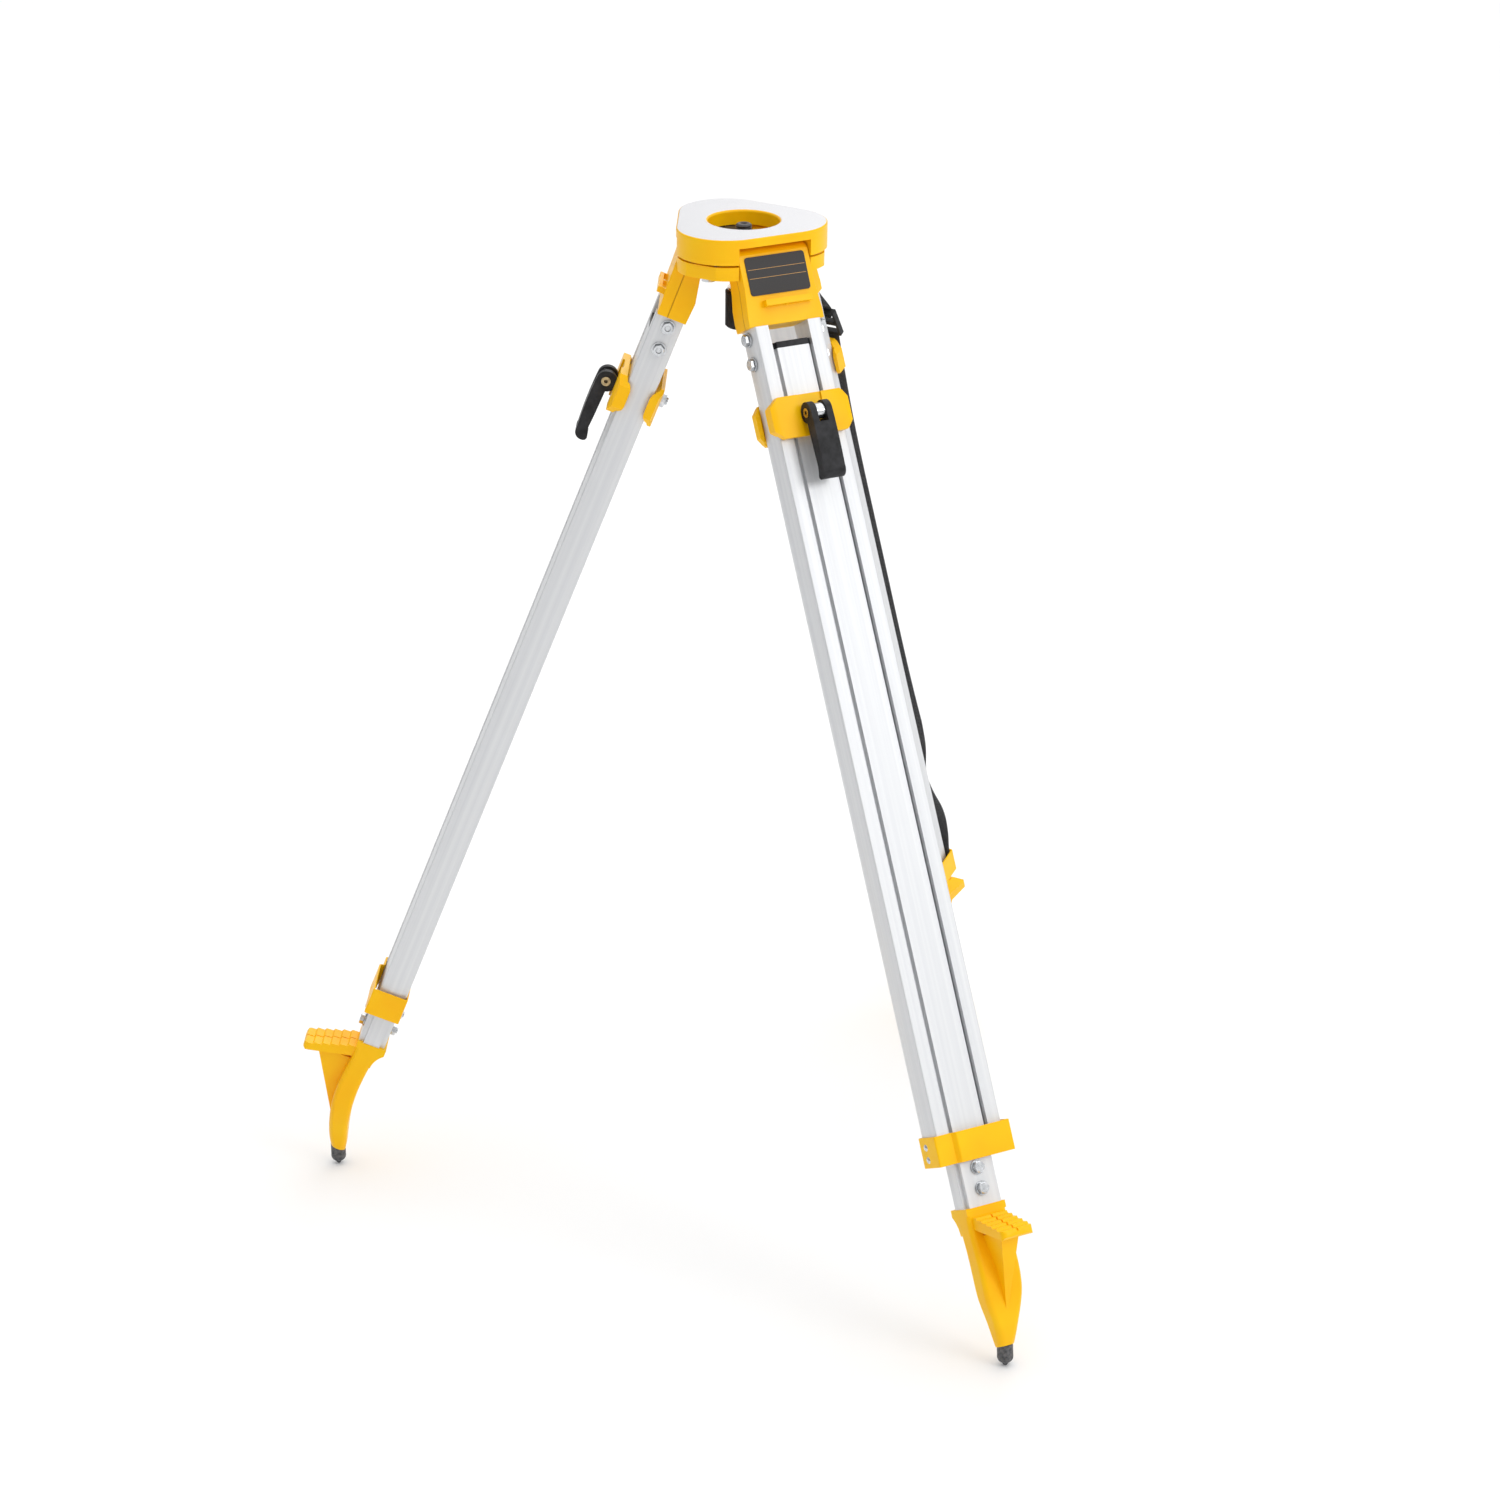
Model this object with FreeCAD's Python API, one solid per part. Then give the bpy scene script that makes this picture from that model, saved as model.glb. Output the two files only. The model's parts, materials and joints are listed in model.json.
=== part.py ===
import FreeCAD, Part
import math
import os

# Surveyor tripod with a flat head, three two-stage aluminium legs and cam-lever clamps.
#
# Row frame: millimetres, +Z up. z = 0 is the ground plane under the three spike tips, and the
# origin is the point on the ground plumb below the centre of the head's top face.
# Leg frame: t runs across the leg, to the right seen from outside, n is the outward normal and
# h is the height along the leg above its tip. In the leg frame X = t, Y = -n and Z = h.
# Head frame: the origin is the centre of the top face and the front leg points along -Y.

V = FreeCAD.Vector
Z_AXIS = V(0, 0, 1)

# ---- driving dimensions ---------------------------------------------------------------------

LEGS = {"front": (0.0, 28.18), "left": (-120.0, 21.23), "right": (120.0, 22.61)}
STRAP_LEG = "right"

HINGE_RADIUS = 44.5        # hinge axis to the head's axis
HINGE_DEPTH = 26.0         # hinge axis below the top face
HINGE_H = 1069.2           # hinge axis above the spike tip, along the leg
PIN_R = 5.0
RUNNING = 0.05             # radial clearance of a running fit
SLIDE_GAP = 0.4            # clearance of a sliding face

LUG_APOTHEM = 63.5         # head axis to the straight edge above a leg
LUG_CORNER_R = 47.0
LUG_CORNER_AT = 33.0
HEAD_SKIRT = 8.5           # plate thickness above a leg
HEAD_HUB = 14.3            # plate thickness around the centre hole
HEAD_LUG = 39.5            # depth of the corner lugs
HEAD_HOLE_R = 34.2
HUB_R = 41.0
RECESS_HALF = 38.5         # half the gap between two lugs
JAW_SLIT = (24.5, 26.5)
JAW_FLAT_AT = 77.5         # head axis to the flat on the lower jaw
JAW_BOLT_AT = 63.0
M8_R = 4.0

ARM_PIVOT_Y = 39.5
ARM_TOP = 14.9
ARM_THICK = 8.0
BLOCK_HALF = 8.0
BLOCK_FLANGE_HALF = 10.8
SLOT_TRAVEL = 16.0
SCREW_R = 7.94             # 5/8 inch, 11 threads per inch
SCREW_TOP = 3.7
SCREW_SHANK_R = 5.0
KNOB_R = 17.2
KNOB_TOP = 68.5
KNOB_HEIGHT = 37.0

TUBE_IN, TUBE_OUT, TUBE_SIDE = 21.3, 35.6, 37.0
TUBE_N = 14.3
TUBE_WALL = 1.8
TUBE_H = (201.0, 1003.0)
PANEL_T, PANEL_N = 17.0, 14.0
RAIL_T, RAIL_N = 20.4, 8.5
LEG_WALL = 2.0
LEG_H = (153.0, 980.0)

BRACKET_H = 1003.0
BRACKET_HALF = 40.0
BARREL_R = 11.5
PLUG_BOTTOM = 960.0
BRACKET_BOLTS_H = (993.7, 970.1)
BRACKET_BOLTS_N = -1.3
M6_R = 3.0

CLAMP_H = (893.0, 932.5)
CLAMP_HALF = 42.0
CLAMP_N = 23.6
CLAMP_AXIS_H = 912.7
LEVER_N = 32.5
LEVER_HALF = 11.5
LEVER_HEAD_R = 10.2
CAM_OFFSET = 0.75
LEVER_PIN_R = 3.25
EYE_HALF = 4.2

BAND_H = (197.0, 226.0)
BAND_WALL = 1.6
RIVETS_H = (216.5, 204.6)
RIVET_N = -4.5
RIVET_R = 2.0

FOOT_BOLTS_H = (189.0, 169.0)
PEDAL_HALF = 17.0
PEDAL_TIP = 65.0
PEDAL_RIDGES = 6
SPIKE_NOSE = (-15.6, 3.0)  # centre of the round nose, n and h
SPIKE_NOSE_R = 3.0
SPIKE_LEAN = 22.0          # spike axis to the leg axis, degrees
SPIKE_R = 7.7

LABEL_HALF = 32.0
LABEL_H = (1031.7, 1068.5)
LABEL_THICK = 0.8
LABEL_CORNER = 3.0

BUCKLE_AT = (-27.0, 26.5, 951.0)     # centre, t, n and h
BUCKLE_SIZE = (27.0, 6.0, 33.0)
BUCKLE_LEAN = 10.0
STRAP_WIDTH = 20.0
STRAP_THICK = 1.6
STRAP_T = -24.5
# Middle of the strap on its way down the leg, n and h: out of the buckle, straight past the
# clamp, then slack in two shallow waves and into the slot of the guide band.
STRAP_ROUTE = [(28.5, 934.6), (26.6, 890), (25.8, 800), (26.6, 650), (25.8, 510), (26.6, 440),
               (26.3, 404), (26.2, 374), (17.8, 345), (18.2, 315), (26, 277), (23.5, 245),
               (17.3, 227), (17, 209)]


# ---- shapes in the leg frame ----------------------------------------------------------------

def face(place, start, *steps):
    """A flat face. Each step is a point, or the middle and the end of an arc."""
    edges, here = [], start
    for step in steps + (start,):
        if isinstance(step[0], tuple):
            edges.append(Part.Arc(place(*here), place(*step[0]), place(*step[1])).toShape())
            here = step[1]
        elif step != here:
            edges.append(Part.LineSegment(place(*here), place(*step)).toShape())
            here = step
    return Part.Face(Part.Wire(edges))


def across(t0, t1, *outline):
    """An outline in n and h, drawn out across the leg."""
    return face(lambda n, h: V(t0, -n, h), *outline).extrude(V(t1 - t0, 0, 0))


def outward(n0, n1, *outline):
    """An outline in t and h, drawn out along the outward normal."""
    return face(lambda t, h: V(t, -n0, h), *outline).extrude(V(0, n0 - n1, 0))


def along(h0, h1, *outline):
    """An outline in t and n, drawn out along the leg."""
    return face(lambda t, n: V(t, -n, h0), *outline).extrude(V(0, 0, h1 - h0))


def slab(t, n, h):
    return Part.makeBox(t[1] - t[0], n[1] - n[0], h[1] - h[0], V(t[0], -n[1], h[0]))


def rod_t(radius, t0, t1, n, h):
    return Part.makeCylinder(radius, t1 - t0, V(t0, -n, h), V(1, 0, 0))


def rod_n(radius, n0, n1, t, h):
    return Part.makeCylinder(radius, n1 - n0, V(t, -n0, h), V(0, -1, 0))


def hexagon(across_flats, start, direction, length):
    """A hexagonal head from a point along a direction, with its far corners chamfered."""
    radius = across_flats / math.sqrt(3)
    corners = [V(radius * math.cos(math.radians(60 * k)), radius * math.sin(math.radians(60 * k)), 0)
               for k in range(7)]
    prism = Part.Face(Part.makePolygon(corners)).extrude(V(0, 0, length))
    end_radius = 0.48 * across_flats
    chamfer = Part.makeCone(end_radius + length * math.sqrt(3), end_radius, length)
    prism = prism.common(chamfer)
    prism.Placement = FreeCAD.Placement(start, FreeCAD.Rotation(Z_AXIS, direction))
    return prism


def mirrored(shape):
    """The mirror image across the leg."""
    return shape.mirror(V(0, 0, 0), V(1, 0, 0))


def both_sides(shape):
    return [shape, mirrored(shape)]


# ---- upper part of a leg --------------------------------------------------------------------

def bracket_face(h):
    """The bracket's front face leans out slightly towards the hinge."""
    return 13.2 + 2.3 * (h - BRACKET_H) / 63.0


def hinge_bracket():
    face_top = HINGE_H + 1.0
    profile = [(bracket_face(BRACKET_H), BRACKET_H), (bracket_face(face_top), face_top),
               ((12.9, HINGE_H + 6.8), (7.5, HINGE_H + 10.0)), (0.0, HINGE_H + BARREL_R),
               ((-BARREL_R * math.sqrt(0.5), HINGE_H + BARREL_R * math.sqrt(0.5)),
                (-BARREL_R, HINGE_H)),
               (-12.6, HINGE_H - 20.7), (-17.2, BRACKET_H + 22.0), (-15.8, BRACKET_H)]
    top = HINGE_H + 20.0
    waist = RECESS_HALF - 1.0
    plan = [(-BRACKET_HALF, BRACKET_H), (BRACKET_HALF, BRACKET_H), (BRACKET_HALF, BRACKET_H + 9.0),
            (waist, BRACKET_H + 36.0), (waist, top), (-waist, top), (-waist, BRACKET_H + 36.0),
            (-BRACKET_HALF, BRACKET_H + 9.0)]
    body = across(-BRACKET_HALF, BRACKET_HALF, *profile).common(outward(-20.0, 20.0, *plan))
    pockets = both_sides(slab((4.0, 30.0), (-20.0, 7.0), (BRACKET_H + 8.0, BRACKET_H + 45.0)))
    plugs = both_sides(slab((TUBE_IN + 2.1, 33.5), (-12.0, 12.0), (PLUG_BOTTOM, BRACKET_H)))
    bar_h = (BRACKET_H + 17.0, BRACKET_H + 23.0)
    bar = slab((-21.5, 28.5), (17.2, 21.2), bar_h)
    posts = [slab((t, t + 2.5), (12.0, 21.2), bar_h) for t in (-21.5, 2.2, 26.0)]
    body = body.fuse(plugs + posts + [bar]).removeSplitter()
    bores = [rod_t(PIN_R + RUNNING, -BRACKET_HALF, BRACKET_HALF, 0.0, HINGE_H)]
    for h in BRACKET_BOLTS_H:
        bores += both_sides(rod_t(M6_R, TUBE_IN, BRACKET_HALF, BRACKET_BOLTS_N, h))
    return body.cut(pockets + bores)


def outer_tubes():
    """Two D-shaped tubes. The left one has holes for the rivets of the guide band."""
    edge = TUBE_N - 1.8
    section = face(lambda t, n: V(t, -n, TUBE_H[0]),
                   (TUBE_IN, -TUBE_N), (TUBE_OUT - 1.8, -TUBE_N),
                   ((TUBE_OUT - 0.5, -edge - 1.3), (TUBE_OUT, -edge)),
                   ((TUBE_SIDE, 0.0), (TUBE_OUT, edge)),
                   ((TUBE_OUT - 0.5, edge + 1.3), (TUBE_OUT - 1.8, TUBE_N)),
                   (TUBE_IN, TUBE_N))
    wall = section.cut(section.makeOffset2D(-TUBE_WALL))
    tube = wall.extrude(V(0, 0, TUBE_H[1] - TUBE_H[0]))
    bolts = [rod_t(M6_R + 0.1, TUBE_OUT - 3.0, BRACKET_HALF, BRACKET_BOLTS_N, h)
             for h in BRACKET_BOLTS_H]
    rivets = [rod_t(RIVET_R, TUBE_OUT - 3.0, BRACKET_HALF, RIVET_N, h) for h in RIVETS_H]
    return [tube.cut(bolts), mirrored(tube.cut(bolts + rivets))]


def bracket_bolts():
    """Hexagon flange bolts on the left, studs with flange nuts on the right."""
    solids = []
    seat = TUBE_SIDE + 0.05
    for h in BRACKET_BOLTS_H:
        shank = rod_t(M6_R, TUBE_IN + 3.0, seat, BRACKET_BOLTS_N, h)
        flange = rod_t(7.1, seat, seat + 1.6, BRACKET_BOLTS_N, h)
        head = hexagon(10.0, V(seat + 1.6, -BRACKET_BOLTS_N, h), V(1, 0, 0), 3.6)
        bolt = shank.fuse([flange, head])
        solids.append(mirrored(bolt))
        solids.append(bolt.cut(rod_t(M6_R, seat + 4.0, seat + 6.0, BRACKET_BOLTS_N, h)))
    return solids


def guide_band():
    """A sheet ring around both tubes, with a raised strap slot across most of its front."""
    flush, raised = TUBE_N + 0.3, TUBE_N + 5.1
    left, right = -TUBE_SIDE - 0.1, TUBE_SIDE + 2.4
    inner = face(lambda t, n: V(t, -n, BAND_H[0]),
                 (left, -flush), (right, -flush), (right, raised), (-16.5, raised),
                 (-19.5, flush), (left, flush))
    outer = inner.makeOffset2D(BAND_WALL)
    ring = outer.cut(inner).extrude(V(0, 0, BAND_H[1] - BAND_H[0]))
    return [ring.cut([rod_t(RIVET_R, -BRACKET_HALF - 3.0, 0.0, RIVET_N, h) for h in RIVETS_H])]


def band_rivets():
    """Dome-headed rivets that hold the band to the left tube."""
    solids = []
    seat = TUBE_SIDE + 0.1 + BAND_WALL
    for h in RIVETS_H:
        shank = rod_t(RIVET_R, TUBE_OUT - 3.0, seat, RIVET_N, h)
        dome = Part.makeSphere(4.4, V(seat - 2.9, -RIVET_N, h))
        dome = dome.common(slab((seat, seat + 5.0), (-20.0, 20.0), (h - 5.0, h + 5.0)))
        solids.append(mirrored(shank.fuse(dome)))
    return solids


# ---- sliding part of a leg ------------------------------------------------------------------

def inner_leg():
    section = [(-PANEL_T, -PANEL_N), (PANEL_T, -PANEL_N), (PANEL_T, -RAIL_N), (RAIL_T, -RAIL_N),
               (RAIL_T, RAIL_N), (PANEL_T, RAIL_N), (PANEL_T, PANEL_N), (-PANEL_T, PANEL_N),
               (-PANEL_T, RAIL_N), (-RAIL_T, RAIL_N), (-RAIL_T, -RAIL_N), (-PANEL_T, -RAIL_N)]
    outer = face(lambda t, n: V(t, -n, LEG_H[0]), *section)
    bore = outer.makeOffset2D(-LEG_WALL, 2)
    leg = outer.cut(bore).extrude(V(0, 0, LEG_H[1] - LEG_H[0]))
    holes = [rod_n(M8_R + 0.3, -20.0, 20.0, 0.0, CLAMP_AXIS_H)]
    holes += [rod_n(M6_R + 0.1, -20.0, 20.0, 0.0, h) for h in FOOT_BOLTS_H]
    return leg.cut(holes)


def guide_cap():
    top = LEG_H[1] + 6.0
    guide = TUBE_IN - SLIDE_GAP
    lid = slab((-PANEL_T, PANEL_T), (-PANEL_N, PANEL_N), (LEG_H[1], top))
    wings = slab((-guide, guide), (-10.0, 10.0), (LEG_H[1], top))
    plug = slab((-PANEL_T + 2.2, PANEL_T - 2.2), (-11.8, 11.8), (LEG_H[1] - 12.0, LEG_H[1]))
    return lid.fuse([wings, plug]).removeSplitter()


def clamp_plate(n_face, n_flange, half_flat):
    """A plate across both outer tubes, with its ends turned back around their sides."""
    gap = TUBE_N + 0.3
    seat = TUBE_SIDE + 0.8
    corner = n_face - (CLAMP_HALF - half_flat) * 0.5
    plate = along(CLAMP_H[0], CLAMP_H[1],
                  (-CLAMP_HALF, n_flange), (-CLAMP_HALF, corner), (-half_flat, n_face),
                  (half_flat, n_face), (CLAMP_HALF, corner), (CLAMP_HALF, n_flange),
                  (seat, n_flange), (seat, gap), (PANEL_T + 1.0, gap), (PANEL_T + 1.0, PANEL_N),
                  (-PANEL_T - 1.0, PANEL_N), (-PANEL_T - 1.0, gap), (-seat, gap), (-seat, n_flange))
    cut = 8.5
    low, high = CLAMP_H
    shape = outward(0.0, 40.0,
                    (-CLAMP_HALF, low + cut), (-CLAMP_HALF + cut, low), (CLAMP_HALF - cut, low),
                    (CLAMP_HALF, low + cut), (CLAMP_HALF, high - cut), (CLAMP_HALF - cut, high),
                    (-CLAMP_HALF + cut, high), (-CLAMP_HALF, high - cut))
    inner = n_flange + 6.0
    rounded = across(-CLAMP_HALF, CLAMP_HALF,
                     (n_flange, low + 12.5), ((n_flange + 1.6, low + 7.0), (inner, low + 3.0)),
                     (inner + 1.5, low), (40.0, low), (40.0, high), (inner + 1.5, high),
                     (inner, high - 3.0), ((n_flange + 1.6, high - 7.0), (n_flange, high - 12.5)))
    plate = plate.common(shape).common(rounded)
    return plate.cut(rod_n(M8_R + 0.3, 0.0, 40.0, 0.0, CLAMP_AXIS_H))


def clamp_front():
    plate = clamp_plate(CLAMP_N, 9.0, 36.0)
    cam_seat = LEVER_N - LEVER_HEAD_R - CAM_OFFSET - 0.15
    return plate.cut(slab((-LEVER_HALF - 1.5, LEVER_HALF + 1.5), (cam_seat, 30.0), CLAMP_H))


def clamp_rear():
    plate = clamp_plate(22.0, 11.0, 36.0)
    return plate.mirror(V(0, 0, 0), V(0, 1, 0))


def clamp_bolt():
    """An eye bolt through both plates and the inner leg."""
    shank = rod_n(M8_R, -31.0, LEVER_N - 5.0, 0.0, CLAMP_AXIS_H)
    eye = rod_t(8.0, -EYE_HALF, EYE_HALF, LEVER_N, CLAMP_AXIS_H)
    bore = rod_t(LEVER_PIN_R, -EYE_HALF, EYE_HALF, LEVER_N, CLAMP_AXIS_H)
    return shank.fuse(eye).cut(bore)


def clamp_nut():
    collar = rod_n(9.0, -23.5, -22.0, 0.0, CLAMP_AXIS_H)
    body = hexagon(13.5, V(0, 23.5, CLAMP_AXIS_H), V(0, 1, 0), 5.2)
    return collar.fuse(body).cut(rod_n(M8_R, -30.0, -20.0, 0.0, CLAMP_AXIS_H))


def clamp_lever():
    """A forked cam head on the lever pin, and an arm with a hooked end."""
    low = CLAMP_AXIS_H - 63.4
    arm = across(-LEVER_HALF, LEVER_HALF,
                 (29.4, CLAMP_AXIS_H - 6.0), (30.6, low + 27.0), (31.6, low + 12.0),
                 (29.8, low + 5.0), ((29.4, low + 1.2), (32.4, low - 1.0)),
                 ((39.4, low + 0.6), (42.0, low + 9.0)), ((42.9, low + 36.0), (42.0, CLAMP_AXIS_H)),
                 (32.0, CLAMP_AXIS_H))
    head = rod_t(LEVER_HEAD_R, -LEVER_HALF, LEVER_HALF, LEVER_N - CAM_OFFSET, CLAMP_AXIS_H)
    fork = slab((-EYE_HALF - 0.6, EYE_HALF + 0.6), (10.0, 60.0),
                (CLAMP_AXIS_H - 11.0, CLAMP_AXIS_H + 20.0))
    hollow = across(-LEVER_HALF + 3.0, LEVER_HALF - 3.0,
                    (20.0, low + 14.0), (34.0, low + 14.0), (38.6, low + 20.0),
                    (38.6, low + 44.0), (20.0, low + 44.0))
    bore = rod_t(LEVER_PIN_R + RUNNING, -LEVER_HALF, LEVER_HALF, LEVER_N, CLAMP_AXIS_H)
    return arm.fuse(head).removeSplitter().cut([fork, hollow, bore])


def lever_pin():
    """A hollow rivet, flanged over both cheeks of the lever."""
    flange = LEVER_HALF + 0.1
    pin = rod_t(LEVER_PIN_R, -flange, flange, LEVER_N, CLAMP_AXIS_H)
    rims = both_sides(rod_t(LEVER_PIN_R + 1.3, flange, flange + 0.9, LEVER_N, CLAMP_AXIS_H))
    return pin.fuse(rims).cut(rod_t(1.9, -15.0, 15.0, LEVER_N, CLAMP_AXIS_H))


def foot_section(h, n_rear, n_front, half, radius):
    """A rounded rectangle across the foot at one height."""
    bend = radius * (1 - math.sqrt(0.5))
    corners = face(lambda t, n: V(t, -n, h),
                   (-half + radius, n_rear), (half - radius, n_rear),
                   ((half - bend, n_rear + bend), (half, n_rear + radius)),
                   (half, n_front - radius),
                   ((half - bend, n_front - bend), (half - radius, n_front)),
                   (-half + radius, n_front),
                   ((-half + bend, n_front - bend), (-half, n_front - radius)),
                   (-half, n_rear + radius),
                   ((-half + bend, n_rear + bend), (-half + radius, n_rear)))
    return corners.OuterWire


def pedal_top(n):
    """Height of the pedal's tread, level when the leg is splayed."""
    return 145.0 - 0.33 * (n - 14.0)


def pedal():
    step = (PEDAL_TIP - 14.0) / PEDAL_RIDGES
    tread = []
    for k in range(PEDAL_RIDGES):
        n = PEDAL_TIP - step * k
        tread += [(n, pedal_top(n) - 1.0), (n - 1.2, pedal_top(n - 1.2) + 1.0),
                  (n - step + 0.4, pedal_top(n - step + 0.4) - 1.0)]
    plate = across(-PEDAL_HALF, PEDAL_HALF,
                   (PEDAL_TIP - 3.0, pedal_top(PEDAL_TIP) - 7.0),
                   (PEDAL_TIP, pedal_top(PEDAL_TIP) - 5.0), *tread,
                   (4.0, pedal_top(14.0) - 1.0), (4.0, pedal_top(14.0) - 10.0))
    plan = along(90.0, 160.0,
                 (-PEDAL_HALF, 0.0), (PEDAL_HALF, 0.0), (PEDAL_HALF, PEDAL_TIP - 5.0),
                 ((PEDAL_HALF - 1.5, PEDAL_TIP - 1.5), (PEDAL_HALF - 5.0, PEDAL_TIP)),
                 (5.0 - PEDAL_HALF, PEDAL_TIP),
                 ((1.5 - PEDAL_HALF, PEDAL_TIP - 1.5), (-PEDAL_HALF, PEDAL_TIP - 5.0)))
    groove = across(-0.8, 0.8, (16.0, pedal_top(16.0) - 1.6), (PEDAL_TIP, pedal_top(PEDAL_TIP) - 1.6),
                    (PEDAL_TIP, 160.0), (16.0, 160.0))
    return plate.common(plan).cut(groove)


def foot():
    """A casting with a collar, a tongue inside the leg, a pedal on a wedge and a spike socket."""
    sections = [(146.0, -8.5, 14.0, 21.3, 4.0), (115.0, -6.2, 15.4, 21.6, 5.0),
                (90.0, -5.4, 16.6, 21.6, 5.0), (66.0, -7.5, 14.2, 20.0, 5.5),
                (47.0, -11.0, 9.8, 15.3, 6.0), (30.0, -15.3, 4.0, 11.0, 6.5),
                (19.0, -17.3, -1.5, 8.8, 7.6)]
    body = Part.makeLoft([foot_section(*s) for s in sections], True, False)
    collar = slab((-21.3, 21.3), (-16.5, 14.0), (146.0, LEG_H[0]))
    flare = across(-21.3, 21.3, (-16.5, 146.0), ((-11.0, 139.5), (-7.6, 128.0)), (-2.0, 128.0),
                   (-2.0, 146.0))
    tongue = slab((-14.8, 14.8), (-11.8, 11.8), (LEG_H[0], 205.0))
    wedge = outward(0.0, 60.0, (-10.0, 126.0), (10.0, 126.0), (0.6, 50.0), (-0.6, 50.0))
    wedge = wedge.common(across(-12.0, 12.0, (0.0, 50.0), (10.5, 52.0), (49.0, 124.0),
                                (49.0, 129.0), (0.0, 138.0)))
    foot_body = body.fuse([collar, flare, tongue, wedge, pedal()])
    holes = [rod_n(M6_R + 0.1, -20.0, 20.0, 0.0, h) for h in FOOT_BOLTS_H]
    return foot_body.cut(holes + [spike(0.05)])


def foot_bolts():
    """Each bolt has a washer under its head and a nut at the back."""
    solids = []
    for h in FOOT_BOLTS_H:
        shank = rod_n(M6_R, -21.0, PANEL_N + 1.5, 0.0, h)
        head = hexagon(10.0, V(0, -PANEL_N - 1.5, h), V(0, -1, 0), 4.5)
        washer = rod_n(7.0, PANEL_N, PANEL_N + 1.5, 0.0, h).cut(shank)
        nut = hexagon(10.0, V(0, PANEL_N, h), V(0, 1, 0), 5.5).cut(shank)
        solids += [shank.fuse(head), washer, nut]
    return solids


def spike(gap=0.0):
    """A round pin with a blunt nose, grown by a gap on its radius."""
    nose = SPIKE_NOSE_R
    outline = face(lambda r, s: V(r, 0, s),
                   (0.0, -nose), ((nose * 0.8, -nose * 0.6), (nose, 0.0)),
                   ((SPIKE_R - 0.8 + gap, 3.0), (SPIKE_R + gap, 7.5)),
                   (SPIKE_R + gap, 20.0 + gap), (5.5 + gap, 20.0 + gap), (5.5 + gap, 48.0 + gap),
                   (0.0, 48.0 + gap))
    pin = outline.revolve(V(0, 0, 0), Z_AXIS, 360)
    pin.rotate(V(0, 0, 0), V(1, 0, 0), SPIKE_LEAN)
    pin.translate(V(0, -SPIKE_NOSE[0], SPIKE_NOSE[1]))
    return pin


# ---- head, in the head frame ----------------------------------------------------------------

def turned(shape, degrees):
    copy = shape.copy()
    copy.rotate(V(0, 0, 0), Z_AXIS, degrees)
    return copy


def three(shape):
    return [turned(shape, 120.0 * k) for k in range(3)]


def disc(radius, top, bottom, x=0.0, y=0.0):
    """A disc between two depths below the top face."""
    return Part.makeCylinder(radius, bottom - top, V(x, y, -bottom))


def cavity(half_x, y0, y1, top, bottom):
    return Part.makeBox(2 * half_x, y1 - y0, bottom - top, V(-half_x, y0, -bottom))


def head_casting():
    """A rounded triangle with a centre hole and three split lugs that grip the hinge pins."""
    corners = three(disc(LUG_CORNER_R, 0.0, HEAD_LUG, 0.0, LUG_CORNER_AT))
    half_side = LUG_CORNER_AT * math.sin(math.radians(60.0))
    sides = three(cavity(half_side, -LUG_APOTHEM, 0.0, 0.0, HEAD_LUG))
    body = corners[0].fuse(corners[1:] + sides).removeSplitter()
    top_edges = [e for e in body.Edges if all(abs(v.Z) < 1e-6 for v in e.Vertexes)]
    body = body.makeFillet(1.6, top_edges)
    away = [disc(HEAD_HOLE_R, -1.0, HEAD_LUG + 1.0), disc(47.5, HEAD_HUB, HEAD_LUG + 1.0)]
    away += three(cavity(RECESS_HALF, -90.0, -HUB_R, HEAD_SKIRT, HEAD_LUG + 1.0))
    away += three(cavity(RECESS_HALF, -HUB_R - 1.0, 0.0, HEAD_HUB, HEAD_LUG + 1.0))
    away += three(cavity(60.0, 53.0, 90.0, *JAW_SLIT))
    away += three(cavity(60.0, JAW_FLAT_AT, 90.0, JAW_SLIT[1], HEAD_LUG + 1.0))
    for pin in hinge_pins():
        away.append(pin)
    for k in range(3):
        away.append(turned(disc(M8_R, 11.5, HEAD_LUG + 1.0, 0.0, JAW_BOLT_AT), 120.0 * k))
    away.append(disc(M8_R, 4.0, HEAD_HUB + 1.0, 0.0, ARM_PIVOT_Y))
    body = body.cut(away)
    lip = [e for e in body.Edges if abs(e.BoundBox.ZMin) < 1e-6
           and abs(e.BoundBox.XMax - HEAD_HOLE_R) < 1e-3]
    return body.makeFillet(2.5, lip)


def hinge_pins():
    pin = Part.makeCylinder(PIN_R, 116.0, V(-58.0, -HINGE_RADIUS, -HINGE_DEPTH), V(1, 0, 0))
    return three(pin)


def head_bolt(top, under, y):
    """A hexagon bolt from below, with its head under the given depth."""
    shank = disc(M8_R, top, under, 0.0, y)
    head = hexagon(13.0, V(0, y, -under), V(0, 0, -1), 5.5)
    return shank.fuse(head)


def head_bolts():
    """Three jaw bolts under the corner lugs, and the pivot bolt of the swing arm."""
    jaws = three(head_bolt(11.5, HEAD_LUG, JAW_BOLT_AT))
    return jaws + [head_bolt(4.0, ARM_TOP + ARM_THICK + 0.2, ARM_PIVOT_Y)]


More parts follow.
